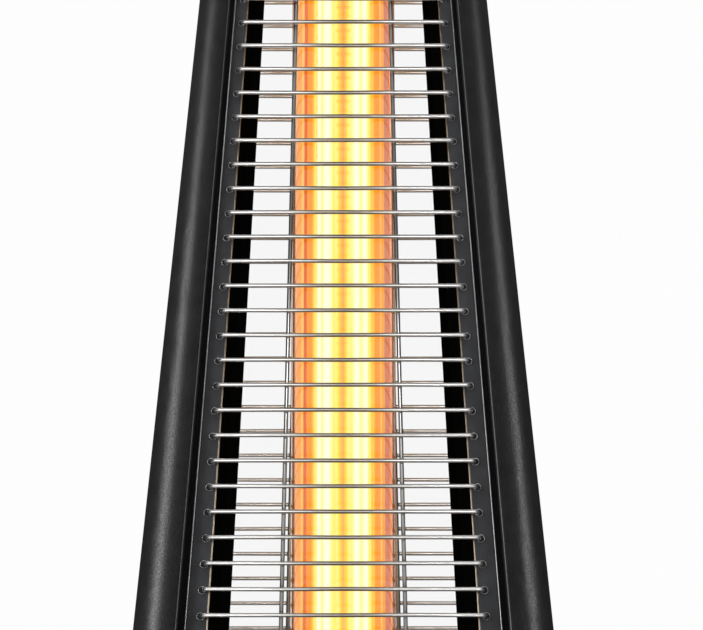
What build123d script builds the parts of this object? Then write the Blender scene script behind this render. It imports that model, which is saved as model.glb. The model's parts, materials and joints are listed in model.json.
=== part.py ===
"""A square pyramid patio heater: a gas flame burns inside a tall quartz glass tube,
behind four wire guards, over a cabinet for the gas bottle and under a hood."""

import os
from math import atan, cos, sin

from build123d import *

os.makedirs("parts", exist_ok=True)

# Millimetres. +Z is up, the front faces -Y, the origin is on the floor under the middle.

# Clearances
SEAT = 0.1                 # between two pieces that seat on each other
SLIP = 0.3                 # around a piece that passes through a hole
RUN = 0.05                 # radial, around a shaft

# Tray
tray_half = 290.0
tray_corner = 60.0
tray_bottom = 40.0
tray_height = 60.0
tray_wall = 2.0
tray_lip = 8.0

# Posts: their section shrinks evenly from foot to head
post_head_z = 2060.0
half_foot = 272.4          # from the middle to the outer face of a post
half_head = 103.5
nose_foot = 58.6           # width of the rounded cover
nose_head = 24.0
nose_radius_foot = 52.0
nose_radius_head = 18.5
groove_foot = 8.3          # between cover and flange
groove_head = 2.5
flange_foot = 33.2         # the flat strip that carries guard and panels
flange_head = 6.9
seat_depth_foot = 20.0     # from the cover's face back to that strip
seat_depth_head = 7.6
apex_foot = 110.8          # from the outer face in to the ridge of the V
apex_head = 40.4
post_wall = 1.5
cover_wall = 1.2
flange_lip = 3.0           # how far the strip's outer edge turns forward
cover_hem = 10.0           # how far the cover reaches behind the strip
cover_edge_radius = 3.0

# Guards
guard_low = 855.0          # height of the lowest wire
guard_pitch = 25.0         # from wire to wire, along the slope
guard_head_gap = 30.0       # from the post heads down to where the wires may end
wire_width = 4.0
wire_stand = 3.5           # from the strip to the middle of a wire
hook_inset_low = 5.4       # from the strip's inner edge to the hole that a wire end enters
hook_inset_high = 3.3
rod_half_low = 59.3        # from the middle to an upright rod
rod_half_high = 38.0
rod_overhang = 8.0

# Cabinet
panel_low = 60.0
panel_high = 826.0
panel_sheet = 1.0
panel_side_gap = 0.6
hem_depth = 12.0
hem_inset = 3.0
vent_length = 70.0
vent_width = 5.0
vent_pitch = 15.0
vent_rows = 6
vent_columns = 2
vent_spacing = 110.0
vent_z = 170.0
door_low = 106.0
door_high = 694.0
dash_low = 698.0           # control panel
screw_radius = 4.0
screw_head = 2.2
screw_places = (0.06, 0.52, 0.96)   # shares of the panel's height

# Door hinges
hinge_heights = (190.0, 600.0)
hinge_inset = 6.0          # from the strip's outer edge to the hinge line
hinge_stand = 5.0          # from the strip out to the hinge line
knuckle_radius = 3.5
knuckle_long = 20.0
knuckle_short = 10.0
pin_radius = 1.5
pin_head = 2.6
pin_head_height = 1.5
leaf_width = 12.0
leaf_thick = 1.4
leaf_bite = 0.1            # how far a leaf is welded into the door's sheet
door_side_gap = 4.2

# Door fittings
door_knob_z = 400.0
door_knob_radius = 13.0
door_knob_height = 20.0
door_knob_base = 8.0
door_knob_waist = 5.5
door_knob_edge = 3.5       # height of the knob's straight rim
door_knob_dome = 2.0
door_knob_inset = 30.0
magnet_size = (10.0, 40.0, 12.0)
strike_thick = 1.5

# Controls
dial_z = 756.0
knob_radius = 24.0
knob_height = 24.0
knob_travel = 3.0
knob_taper = 4.0
grip_width = 10.0
grip_length = 43.0
grip_taper = 3.0
dial_radius = 33.0
dial_thick = 1.5
stem_radius = 3.0
stem_length = 46.0
stem_gap = 2.5             # around the stem in sheet and dial
valve_size = (34.0, 46.0, 34.0)
valve_back = 14.0          # from the panel's back to the valve's block
valve_boss = 9.0
valve_corner = 5.0
inlet_radius = 7.9
inlet_length = 22.4
inlet_bore = 4.4
inlet_hex = 9.5
inlet_hex_length = 8.4
igniter_x = 78.0
igniter_radius = 9.0
igniter_flange = 12.5
igniter_rim = 2.0
igniter_length = 38.0
button_radius = 6.5
button_height = 7.0
button_travel = 5.0
button_proud = 1.0         # left above the rim when pressed
button_edge = 1.0

# Burner
deck_z = 800.0
deck_sheet = 2.0
deck_skirt = 16.0
deck_gap = 1.5
ridge_gap = 0.33           # between the deck and the posts' slanting sides
skirt_inset = 18.0         # from the strip's inner edge to the end of a skirt
cup_radius = 46.0
cup_depth = 78.0
cup_wall = 1.5
cup_flange = 64.0
burner_wall = 2.0
burner_foot = 16.0
burner_foot_height = 3.0
head_radius = 30.0
head_top = 852.0
crown_radius = 22.5
crown_drop = 12.0          # from the burner's top to its shoulder
cone_drop = (22.0, 4.0)    # from the deck down to both ends of the cone
head_slots = 16
head_slot = (10.0, 4.0, 26.0)
venturi_radius = 11.0
venturi_low = 700.0
jet_height = 12.0
pipe_radius = 4.0
pipe_bends = (14.0, 6.0)
pipe_low = 680.0
probe_x = 38.0
probe_radius = 1.6
probe_foot = 8.0           # from the lead's level up to the probe's rod
probe_drop = 4.0           # from the burner's top down to the probe's tip
spark_drop = 8.0
lead_radius = 1.2
lead_low = 706.0
lead_bends = (6.0, 20.0, 12.0)
lead_reach = 65.0          # from the middle to where a lead starts to rise
lead_straight = 25.0
lead_x = 10.0
valve_lead_gap = 2.0
ceramic_radius = 3.2
ceramic_end = 14.0         # of bare wire beyond each end of the ceramic

# Glass tube
tube_radius = 50.8
tube_wall = 3.0
tube_low = deck_z + 6.0
tube_high = post_head_z + 6.0
seal_thick = 2.2
seal_height = 8.0
collar_wall = 1.5
collar_height = 18.0

# Head
cap_half = half_head + 5.5
cap_sheet = 1.5
cap_rim = 14.0
hood_half = 310.0
hood_corner = 24.0
hood_flat = 95.0
hood_clear = 75.0          # from the post heads up to the hood's rim
hood_rim = 15.0
hood_rise = 50.0
hood_sheet = 1.5
hood_post_radius = 6.0
hood_post_place = 76.0
nut_radius = 8.0
nut_height = 10.0
nut_hex_height = 6.0
nut_dome = 5.6
nut_dome_taper = 10.0

# Wheels, feet, bottle ring, tilt switch
wheel_radius = 25.0
wheel_width = 20.0
wheel_lift = 4.0           # the wheels meet the floor only when the heater is tipped
wheel_x = 110.0
wheel_inset = 40.0         # from the tray's rear edge to the axle
wheel_slot_gap = 3.0       # around a wheel in the tray's floor
hub_radius = 18.0
hub_rim = 4.0
hub_recess = 5.0
tyre_edge = 2.5
axle_radius = 4.0
axle_end = 1.5             # of axle beyond the outer ears
ear_thick = 3.0
ear_gap = 1.0
ear_width = 20.0
axle_cap_radius = 7.0
axle_cap_height = 5.0
axle_cap_bore = 2.0
foot_radius = 20.0
foot_height = 12.0
foot_taper = 12.0
foot_stem = 5.0
foot_side_inset = 55.0
foot_front_inset = 65.0
foot_rear_inset = 125.0    # leaves room for the wheels behind the rear feet
ring_radius = 118.0
ring_height = 18.0
ring_wall = 2.0
switch_size = (34.0, 24.0, 22.0)
switch_place = (-100.0, 70.0)

# Places that follow from these
post_foot_z = tray_bottom + tray_wall
hood_low = post_head_z + hood_clear + hood_rim
hood_top = hood_low + hood_rise
wheel_y = tray_half - wheel_inset
foot_x = tray_half - foot_side_inset
foot_front_y = foot_front_inset - tray_half
foot_rear_y = tray_half - foot_rear_inset


def between(low, high, z):
    """A size of the post at height z, from its sizes at the foot and at the head."""
    return low + (high - low) * (z - post_foot_z) / (post_head_z - post_foot_z)


def half(z):
    return between(half_foot, half_head, z)


def seat(z):
    """From the middle to the flat strip."""
    return half(z) - between(seat_depth_foot, seat_depth_head, z)


def cover_side(z):
    """From the middle to the cover's inner side."""
    return half(z) - between(nose_foot, nose_head, z)


def strip_outer(z):
    return cover_side(z) - between(groove_foot, groove_head, z)


def strip_inner(z):
    return strip_outer(z) - between(flange_foot, flange_head, z)


def apex(z):
    return half(z) - between(apex_foot, apex_head, z)


tilt = atan((seat(post_foot_z) - seat(post_head_z)) / (post_head_z - post_foot_z))

# The front's sloping plane, in which the strips lie: x right, y up the slope, z outwards
front = Plane(origin=(0, -seat(0), 0), x_dir=(1, 0, 0), z_dir=(0, -cos(tilt), sin(tilt)))


def up(z):
    """The place of height z along the slope."""
    return z / cos(tilt)


def save(builder, name):
    builder.part.label = name
    export_step(builder.part, f"parts/{name}.step")


def save_turned(builder, turns):
    """Writes a front piece again on other sides: names, with their turns about Z."""
    for name, turn in turns.items():
        with BuildPart() as turned:
            add(builder.part.rotate(Axis.Z, turn))
        save(turned, name)


# Tray
with BuildPart() as tray:
    with BuildSketch(Plane.XY.offset(tray_bottom)):
        RectangleRounded(2 * tray_half, 2 * tray_half, tray_corner)
    extrude(amount=tray_height)
    with BuildSketch(Plane.XY.offset(tray_bottom + tray_wall)):
        inner = tray_half - tray_wall
        RectangleRounded(2 * inner, 2 * inner, tray_corner - tray_wall)
    extrude(amount=tray_height - 2 * tray_wall, mode=Mode.SUBTRACT)
    with BuildSketch(Plane.XY.offset(tray_bottom + tray_wall)):
        mouth = tray_half - tray_lip
        RectangleRounded(2 * mouth, 2 * mouth, tray_corner - tray_lip)
    extrude(amount=tray_height, mode=Mode.SUBTRACT)
    with BuildSketch(Plane.XY.offset(tray_bottom)):
        with Locations((-wheel_x, wheel_y), (wheel_x, wheel_y)):
            Rectangle(wheel_width + 2 * wheel_slot_gap, 2 * (wheel_radius + wheel_slot_gap))
    extrude(amount=tray_wall, mode=Mode.SUBTRACT)
save(tray, "base_pan")

with BuildPart() as feet:
    foot_places = [(x, y) for x in (-foot_x, foot_x) for y in (foot_front_y, foot_rear_y)]
    with BuildSketch(Plane.XY):
        with Locations(*foot_places):
            Circle(foot_radius)
    extrude(amount=foot_height, taper=foot_taper)
    with BuildSketch(Plane.XY):
        with Locations(*foot_places):
            Circle(foot_stem)
    extrude(amount=tray_bottom - SEAT)
save(feet, "feet")

# Wheels on one axle under the rear edge
axle_z = wheel_radius + wheel_lift
ear_outer = wheel_width / 2 + ear_gap + ear_thick
axle_half = wheel_x + ear_outer + axle_end
side_plane = Plane(origin=(0, wheel_y, axle_z), x_dir=(0, 1, 0), z_dir=(1, 0, 0))

with BuildPart() as axle:
    with BuildSketch(side_plane.offset(-axle_half)):
        Circle(axle_radius)
    extrude(amount=2 * axle_half)
save(axle, "wheel_axle")

with BuildPart() as ears:
    for wheel in (-wheel_x, wheel_x):
        for side in (-1, 1):
            near = wheel + side * (wheel_width / 2 + ear_gap)
            start = near if side > 0 else near - ear_thick
            top = tray_bottom - SEAT - axle_z
            with BuildSketch(side_plane.offset(start)):
                Circle(ear_width / 2)
                with Locations((0, top / 2)):
                    Rectangle(ear_width, top)
                Circle(axle_radius + RUN, mode=Mode.SUBTRACT)
            extrude(amount=ear_thick)
save(ears, "wheel_brackets")

with BuildPart() as caps:
    for side in (-1, 1):
        start = side * (wheel_x + ear_outer + SEAT)
        with BuildSketch(side_plane.offset(start)):
            Circle(axle_cap_radius)
        extrude(amount=side * axle_cap_height)
        with BuildSketch(side_plane.offset(start)):
            Circle(axle_radius + RUN)
        extrude(amount=side * axle_cap_bore, mode=Mode.SUBTRACT)
save(caps, "axle_caps")

for name, wheel in (("left", -wheel_x), ("right", wheel_x)):
    start = wheel - wheel_width / 2
    with BuildPart() as hub:
        with BuildSketch(side_plane.offset(start)):
            Circle(hub_radius - SEAT)
        extrude(amount=wheel_width)
        with BuildSketch(side_plane.offset(start), side_plane.offset(start + wheel_width - hub_recess)):
            Circle(hub_radius - hub_rim)
            Circle(axle_radius + hub_rim, mode=Mode.SUBTRACT)
        extrude(amount=hub_recess, mode=Mode.SUBTRACT)
        with BuildSketch(side_plane.offset(start)):
            Circle(axle_radius + RUN)
        extrude(amount=wheel_width, mode=Mode.SUBTRACT)
    save(hub, f"wheel_{name}")
    with BuildPart() as tyre:
        with BuildSketch(side_plane.offset(start)):
            Circle(wheel_radius)
            Circle(hub_radius, mode=Mode.SUBTRACT)
        extrude(amount=wheel_width)
        chamfer(tyre.edges().filter_by(GeomType.CIRCLE).group_by(SortBy.RADIUS)[-1], tyre_edge)
    save(tyre, f"tyre_{name}")

with BuildPart() as ring:
    with BuildSketch(Plane.XY.offset(post_foot_z + SEAT)):
        Circle(ring_radius)
        Circle(ring_radius - ring_wall, mode=Mode.SUBTRACT)
    extrude(amount=ring_height)
save(ring, "cylinder_ring")


# Posts. Both sections are drawn for the corner at +X, -Y and are alike about its diagonal.
def channel_section(z):
    """The V channel: a strip on each face, turned forward at its edge, and a ridge inwards."""
    far = strip_outer(z) - post_wall
    corner = [(far, seat(z) + flange_lip), (far, seat(z)), (strip_inner(z), seat(z))]
    path = [(x, -y) for x, y in corner] + [(apex(z), -apex(z))] + [(y, -x) for x, y in reversed(corner)]
    with BuildSketch(Plane.XY.offset(z)) as section:
        with BuildLine():
            Polyline(*path)
            offset(amount=post_wall, side=Side.RIGHT, kind=Kind.INTERSECTION)
        make_face()
    return section.sketch


def cover_section(z):
    """The rounded cover, whose two hems lie behind the strips."""
    hem = seat(z) - post_wall - SEAT
    radius = between(nose_radius_foot, nose_radius_head, z)
    start = strip_outer(z) - between(cover_hem, cover_hem * flange_head / flange_foot, z)
    side, face, soft = cover_side(z), half(z), cover_edge_radius
    with BuildSketch(Plane.XY.offset(z)) as section:
        with BuildLine():
            Polyline((start, -hem), (side, -hem), (side, soft - face))
            RadiusArc((side, soft - face), (side + soft, -face), soft)
            Line((side + soft, -face), (face - radius, -face))
            RadiusArc((face - radius, -face), (face, radius - face), -radius)
            Line((face, radius - face), (face, -side - soft))
            RadiusArc((face, -side - soft), (face - soft, -side), soft)
            Polyline((face - soft, -side), (hem, -side), (hem, -start))
            offset(amount=cover_wall, side=Side.LEFT, kind=Kind.INTERSECTION)
        make_face()
    return section.sketch


foot_z = post_foot_z + SEAT
with BuildPart() as channel:
    add(channel_section(foot_z))
    add(channel_section(post_head_z))
    loft(ruled=True)
with BuildPart() as cover:
    add(cover_section(foot_z))
    add(cover_section(post_head_z))
    loft(ruled=True)
corners = {"front_right": 0, "rear_right": 90, "rear_left": 180, "front_left": 270}
save_turned(channel, {f"post_{corner}": turn for corner, turn in corners.items()})
save_turned(cover, {f"cover_{corner}": turn for corner, turn in corners.items()})


# Guards
def straight_bar(start, end, flat):
    """A bar whose flat faces the strips."""
    axis = Plane(origin=start, x_dir=(0, 0, 1), z_dir=Vector(*end) - Vector(*start))
    with BuildPart() as bar:
        with BuildSketch(axis):
            RegularPolygon(flat / 2, 6, major_radius=False, rotation=30)
        extrude(amount=(Vector(*end) - Vector(*start)).length)
    return bar.part


def guard_wire(z):
    """One wire of a guard, whose ends turn back into the strips."""
    reach = strip_inner(z) + hook_inset(z)
    with BuildPart() as wire:
        with BuildLine() as path:
            Polyline((-reach, up(z), SEAT), (-reach, up(z), wire_stand),
                     (reach, up(z), wire_stand), (reach, up(z), SEAT))
        with BuildSketch(Plane(origin=(-reach, up(z), SEAT))):
            RegularPolygon(wire_width / 2, 6, major_radius=False, rotation=30)
        sweep(path=path.wire(), transition=Transition.RIGHT)
    return wire.part


guard_step = guard_pitch * cos(tilt)
guard_wires = int((post_head_z - guard_head_gap - guard_low) / guard_step) + 1
guard_high = guard_low + (guard_wires - 1) * guard_step


def hook_inset(z):
    share = (z - guard_low) / (guard_high - guard_low)
    return hook_inset_low + (hook_inset_high - hook_inset_low) * share


rod_stand = wire_stand - wire_width - SEAT / 2
guard_bars = [guard_wire(guard_low + count * guard_step) for count in range(guard_wires)]
for side in (-1, 1):
    low = (side * rod_half_low, up(guard_low) - rod_overhang, rod_stand)
    high = (side * rod_half_high, up(guard_high) + rod_overhang, rod_stand)
    guard_bars.append(straight_bar(low, high, wire_width))
guard_at_front = [front.location * bar for bar in guard_bars]
for name, turn in {"front": 0, "right": 90, "rear": 180, "left": 270}.items():
    with BuildPart() as guard:
        add([bar.rotate(Axis.Z, turn) for bar in guard_at_front])
    save(guard, f"guard_{name}")


# Cabinet panels
def panel_half(z):
    return strip_outer(z) - post_wall - panel_side_gap


def panel_left(z):
    return -panel_half(z)


def hem_half(z):
    return strip_inner(z) - hem_inset


def hem_left(z):
    return -hem_half(z)


def sloped_sheet(low, high, left, right):
    """Corners, on the front's plane, of a sheet between two heights and two side lines."""
    return [(left(low), up(low)), (right(low), up(low)), (right(high), up(high)), (left(high), up(high))]


sheet_back = front.offset(SEAT)
sheet_front = SEAT + panel_sheet


def folded_sheet(low, high, left, right):
    """A sheet in front of the strips, folded back along its lower and upper edges."""
    with BuildPart() as sheet:
        with BuildSketch(sheet_back):
            Polygon(*sloped_sheet(low, high, left, right), align=None)
        extrude(amount=panel_sheet)
        for bottom, top in ((low, low + panel_sheet), (high - panel_sheet, high)):
            with BuildSketch(sheet_back):
                Polygon(*sloped_sheet(bottom, top, hem_left, hem_half), align=None)
            extrude(amount=-hem_depth)
    return sheet.part


with BuildPart() as panel:
    add(folded_sheet(panel_low, panel_high, panel_left, panel_half))
    with BuildSketch(sheet_back):
        with Locations((0, up(vent_z))):
            with GridLocations(vent_spacing, vent_pitch, vent_columns, vent_rows):
                Rectangle(vent_length, vent_width)
    extrude(amount=panel_sheet, mode=Mode.SUBTRACT)
save_turned(panel, {"panel_right": 90, "panel_rear": 180, "panel_left": 270})


# Door
def hinge_x(z):
    return hinge_inset - strip_outer(z)


def hinge_point(z):
    return front.from_local_coords(Vector(hinge_x(z), up(z), hinge_stand))


def door_left(z):
    return hinge_x(z) + door_side_gap


hinge_line = (hinge_point(door_high) - hinge_point(door_low)).normalized()
inward = Vector(0, 0, 0) - front.z_dir


def hinge_plane(z):
    """A plane square to the hinge line: x along the face, y inwards."""
    return Plane(origin=hinge_point(z), x_dir=inward.cross(hinge_line), z_dir=hinge_line)


short_offsets = [side * (knuckle_long / 2 + SLIP + knuckle_short / 2) for side in (-1, 1)]

with BuildPart() as door:
    add(folded_sheet(door_low, door_high, door_left, panel_half))
    leaf_near = hinge_stand - sheet_front - leaf_thick + leaf_bite
    for z in hinge_heights:
        with BuildSketch(hinge_plane(z)):
            Circle(knuckle_radius)
            with Locations((leaf_width / 2, leaf_near + leaf_thick / 2)):
                Rectangle(leaf_width, leaf_thick)
            Circle(pin_radius + RUN, mode=Mode.SUBTRACT)
        extrude(amount=knuckle_long / 2, both=True)
save(door, "door_panel")

with BuildPart() as leaves:
    for z in hinge_heights:
        for shift in short_offsets:
            with BuildSketch(hinge_plane(z).offset(shift)):
                Circle(knuckle_radius)
                with Locations((0, (hinge_stand - SEAT) / 2)):
                    Rectangle(2 * knuckle_radius, hinge_stand - SEAT)
                Circle(pin_radius + RUN, mode=Mode.SUBTRACT)
            extrude(amount=knuckle_short / 2, both=True)
save(leaves, "hinge_leaves")

with BuildPart() as pins:
    pin_top = knuckle_long / 2 + SLIP + knuckle_short + SEAT
    for z in hinge_heights:
        with BuildSketch(hinge_plane(z)):
            Circle(pin_radius)
        extrude(amount=pin_top, both=True)
        with BuildSketch(hinge_plane(z).offset(pin_top)):
            Circle(pin_head)
        extrude(amount=pin_head_height)
save(pins, "hinge_pins")

# Door knob, and the magnet that holds the door
pull_x = panel_half(door_knob_z) - between(flange_foot, flange_head, door_knob_z) - door_knob_inset
pull_origin = front.from_local_coords(Vector(pull_x, up(door_knob_z), sheet_front + SEAT))
pull_rim = door_knob_height - door_knob_dome - door_knob_edge
with BuildPart() as pull:
    with BuildSketch(Plane(origin=pull_origin, x_dir=(1, 0, 0), z_dir=-front.y_dir)):
        with BuildLine():
            Line((0, 0), (door_knob_base, 0))
            ThreePointArc((door_knob_base, 0), (door_knob_waist, pull_rim / 2), (door_knob_radius, pull_rim))
            Polyline((door_knob_radius, pull_rim), (door_knob_radius, pull_rim + door_knob_edge),
                     (door_knob_radius - door_knob_dome, door_knob_height), (0, door_knob_height), (0, 0))
        make_face()
    revolve(axis=Axis(pull_origin, front.z_dir))
save(pull, "door_knob")


def ridge_side(z, depth):
    """From the middle to the V channel's side, at a depth behind the strip."""
    return strip_inner(z) - depth * (strip_inner(z) - apex(z)) / (seat(z) - apex(z))


magnet_wide, magnet_tall, magnet_deep = magnet_size
magnet_x = hem_half(door_knob_z) - magnet_wide / 2 - hem_inset
with BuildPart() as strike:
    with BuildSketch(front.offset(SEAT / 2)):
        with Locations((magnet_x, up(door_knob_z))):
            Rectangle(magnet_wide, magnet_tall)
    extrude(amount=-strike_thick)
save(strike, "door_strike")

with BuildPart() as magnet:
    with BuildSketch(front.offset(-strike_thick - SLIP)):
        with Locations((magnet_x, up(door_knob_z))):
            Rectangle(magnet_wide, magnet_tall)
        magnet_end = ridge_side(door_knob_z + magnet_tall, strike_thick + magnet_deep) - SLIP
        with Locations(((magnet_x + magnet_end) / 2, up(door_knob_z))):
            Rectangle(magnet_end - magnet_x, magnet_tall)
    extrude(amount=-magnet_deep)
save(magnet, "door_magnet")

# Control panel, dial, valve and igniter
igniter_place = (igniter_x, up(dial_z))
with BuildPart() as dash:
    add(folded_sheet(dash_low, panel_high, panel_left, panel_half))
    with BuildSketch(sheet_back):
        with Locations((0, up(dial_z))):
            Circle(stem_radius + stem_gap)
        with Locations(igniter_place):
            Circle(igniter_radius + SLIP)
    extrude(amount=panel_sheet, mode=Mode.SUBTRACT)
save(dash, "control_panel")

with BuildPart() as dial:
    with BuildSketch(front.offset(sheet_front + SEAT)):
        with Locations((0, up(dial_z))):
            Circle(dial_radius)
            Circle(stem_radius + stem_gap, mode=Mode.SUBTRACT)
    extrude(amount=dial_thick)
save(dial, "dial_plate")

valve_wide, valve_tall, valve_deep = valve_size
valve_front = -valve_back
with BuildPart() as valve:
    with BuildSketch(front.offset(valve_front)):
        with Locations((0, up(dial_z))):
            RectangleRounded(valve_wide, valve_tall, valve_corner)
    extrude(amount=-valve_deep)
    with BuildSketch(front.offset(valve_front)):
        with Locations((0, up(dial_z))):
            Circle(valve_boss)
    extrude(amount=valve_back)
    with BuildSketch(front):
        with Locations((0, up(dial_z))):
            Circle(stem_radius + RUN)
    extrude(amount=-valve_back - valve_deep / 2, mode=Mode.SUBTRACT)
save(valve, "gas_valve")

stem_low = -valve_back - valve_deep / 2 + SLIP
with BuildPart() as stem:
    with BuildSketch(front.offset(stem_low)):
        with Locations((0, up(dial_z))):
            Circle(stem_radius)
    extrude(amount=stem_length)
save(stem, "valve_stem")

knob_low = sheet_front + SEAT + dial_thick + knob_travel + SLIP
with BuildPart() as knob:
    with BuildSketch(front.offset(knob_low)):
        with Locations((0, up(dial_z))):
            Circle(knob_radius)
    extrude(amount=knob_height / 2, taper=knob_taper)
    with BuildSketch(front.offset(knob_low)):
        with Locations((0, up(dial_z))):
            Rectangle(grip_width, grip_length)
    extrude(amount=knob_height, taper=grip_taper)
    with BuildSketch(front.offset(knob_low)):
        with Locations((0, up(dial_z))):
            Circle(stem_radius + RUN)
    extrude(amount=stem_low + stem_length - knob_low + knob_travel + SLIP, mode=Mode.SUBTRACT)
save(knob, "control_knob")

valve_middle = -valve_back - valve_deep / 2
inlet_origin = front.from_local_coords(Vector(-valve_wide / 2 - SEAT, up(dial_z), valve_middle))
inlet_plane = Plane(origin=inlet_origin, x_dir=(0, 1, 0), z_dir=(-1, 0, 0))
with BuildPart() as inlet:
    with BuildSketch(inlet_plane):
        RegularPolygon(inlet_hex, 6, major_radius=False)
    extrude(amount=inlet_hex_length)
    with BuildSketch(inlet_plane):
        Circle(inlet_radius)
    extrude(amount=inlet_length)
    with BuildSketch(inlet_plane):
        Circle(inlet_bore)
    extrude(amount=inlet_length, mode=Mode.SUBTRACT)
save(inlet, "valve_inlet")

with BuildPart() as igniter:
    with BuildSketch(front.offset(sheet_front + SEAT)):
        with Locations(igniter_place):
            Circle(igniter_flange)
    extrude(amount=igniter_rim)
    with BuildSketch(front.offset(sheet_front + SEAT)):
        with Locations(igniter_place):
            Circle(igniter_radius)
    extrude(amount=-igniter_length)
    with BuildSketch(front.offset(sheet_front + SEAT + igniter_rim)):
        with Locations(igniter_place):
            Circle(button_radius + SLIP)
    extrude(amount=-button_height - button_travel - 2 * SLIP - igniter_rim, mode=Mode.SUBTRACT)
save(igniter, "igniter_body")

button_back = sheet_front + SEAT - button_height
with BuildPart() as button:
    with BuildSketch(front.offset(button_back)):
        with Locations(igniter_place):
            Circle(button_radius)
    extrude(amount=button_height + igniter_rim + button_travel + button_proud)
    chamfer(button.faces().sort_by(Axis.Y)[0].edges(), button_edge)
save(button, "igniter_button")

# Deck, notched to clear the posts' ridges
deck_half = seat(deck_z) - hem_depth - deck_gap
deck_top = deck_z + deck_sheet


def deck_outline():
    """The deck's edge, whose corners follow the V of the posts."""
    near, ridge = strip_inner(deck_top), apex(deck_top)
    slope = (near - ridge) / (seat(deck_top) - ridge)
    edge = near - ridge_gap - (seat(deck_top) - deck_half) * slope
    tip = ridge - SLIP
    quarter = [(edge, -deck_half), (tip, -tip), (deck_half, -edge)]
    return [Vector(x, y).rotate(Axis.Z, 90 * turn) for turn in range(4) for x, y in quarter]


with BuildPart() as deck:
    with BuildSketch(Plane.XY.offset(deck_z)):
        Polygon(*deck_outline(), align=None)
        Circle(cup_radius + SLIP, mode=Mode.SUBTRACT)
    extrude(amount=deck_sheet)
    skirt = 2 * (strip_inner(deck_top) - skirt_inset)
    for turn in range(4):
        with BuildSketch(Plane.XY.offset(deck_z).rotated((0, 0, 90 * turn))):
            with Locations((0, -deck_half + deck_sheet / 2)):
                Rectangle(skirt, deck_sheet)
        extrude(amount=-deck_skirt)
save(deck, "burner_deck")

# Burner cup hung in the deck, with the burner standing on its floor
cup_floor = deck_top - cup_depth
cup_rim = deck_top + SEAT
with BuildPart() as cup:
    with BuildSketch(Plane.XZ):
        with BuildLine():
            Polyline((venturi_radius + SLIP, cup_floor), (cup_radius, cup_floor),
                     (cup_radius, cup_rim), (cup_flange, cup_rim))
            offset(amount=cup_wall, side=Side.LEFT, kind=Kind.INTERSECTION)
        make_face()
    revolve(axis=Axis.Z)
    with BuildSketch(Plane.XY.offset(cup_floor)):
        with Locations((-probe_x, 0)):
            Circle(probe_radius + SLIP)
        with Locations((probe_x, 0)):
            Circle(ceramic_radius + SLIP)
    extrude(amount=cup_wall, mode=Mode.SUBTRACT)
save(cup, "burner_cup")

burner_seat = cup_floor + cup_wall + SEAT
cone_low, cone_high = (deck_z - drop for drop in cone_drop)
slot_deep, slot_wide, slot_tall = head_slot
with BuildPart() as burner:
    with BuildSketch(Plane.XZ):
        with BuildLine():
            Polyline((venturi_radius, venturi_low), (venturi_radius, cone_low), (head_radius, cone_high),
                     (head_radius, head_top - crown_drop), (crown_radius, head_top), (0, head_top))
            offset(amount=burner_wall, side=Side.LEFT, kind=Kind.INTERSECTION)
        make_face()
    revolve(axis=Axis.Z)
    with BuildSketch(Plane.XY.offset(burner_seat)):
        Circle(burner_foot)
        Circle(venturi_radius - burner_wall / 2, mode=Mode.SUBTRACT)
    extrude(amount=burner_foot_height)
    with PolarLocations(0, head_slots):
        with Locations((head_radius, 0, (deck_z + head_top) / 2)):
            Box(slot_deep, slot_wide, slot_tall, mode=Mode.SUBTRACT)
save(burner, "burner_head")

with BuildPart() as jet:
    with BuildSketch(Plane.XY.offset(venturi_low - SEAT)):
        RegularPolygon(venturi_radius, 6)
    extrude(amount=-jet_height)
save(jet, "gas_jet")

pipe_start = front.from_local_coords(Vector(0, up(dial_z) - valve_tall / 2 - SEAT, valve_middle))
drop = (pipe_start.Z - pipe_low) / cos(tilt)
pipe_turn = front.from_local_coords(Vector(0, up(dial_z) - valve_tall / 2 - SEAT - drop, valve_middle))
with BuildPart() as pipe:
    with BuildLine() as pipe_path:
        pipe_end = Vector(0, 0, venturi_low - jet_height - 2 * SEAT)
        FilletPolyline(pipe_start, pipe_turn, (0, 0, pipe_turn.Z), pipe_end, radius=pipe_bends)
    with BuildSketch(Plane(origin=pipe_start, z_dir=pipe_turn - pipe_start)):
        Circle(pipe_radius)
    sweep(path=pipe_path.wire())
save(pipe, "feed_pipe")

# Flame probe and spark electrode, with their leads under the deck
valve_rear_y = -seat(dial_z) + valve_back + valve_deep + valve_lead_gap
with BuildPart() as probe:
    with BuildSketch(Plane.XY.offset(lead_low + probe_foot)):
        with Locations((-probe_x, 0)):
            Circle(probe_radius)
    extrude(amount=head_top - probe_drop - lead_low - probe_foot)
    probe_start = Vector(-probe_x, 0, lead_low + probe_foot + SEAT)
    with BuildLine() as probe_path:
        FilletPolyline(probe_start, (-probe_x, 0, lead_low), (-probe_x, -lead_reach, lead_low),
                       (-lead_x, valve_rear_y + lead_straight, dial_z), (-lead_x, valve_rear_y, dial_z),
                       radius=lead_bends)
    with BuildSketch(Plane(origin=probe_start)):
        Circle(lead_radius)
    sweep(path=probe_path.wire())
save(probe, "thermocouple")

igniter_back = front.from_local_coords(Vector(igniter_x, up(dial_z), sheet_front - igniter_length - SLIP))
with BuildPart() as electrode:
    with BuildSketch(Plane.XY.offset(lead_low + ceramic_end)):
        with Locations((probe_x, 0)):
            Circle(ceramic_radius)
    extrude(amount=head_top - lead_low - 2 * ceramic_end)
    spark_tip = Vector(probe_x, 0, head_top - spark_drop)
    with BuildLine() as spark_path:
        FilletPolyline(spark_tip, (probe_x, 0, lead_low), (igniter_x, -lead_reach, lead_low),
                       (igniter_x, igniter_back.Y + lead_straight, dial_z), igniter_back, radius=lead_bends)
    with BuildSketch(Plane(origin=spark_tip)):
        Circle(lead_radius)
    sweep(path=spark_path.wire())
save(electrode, "igniter_electrode")

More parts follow.
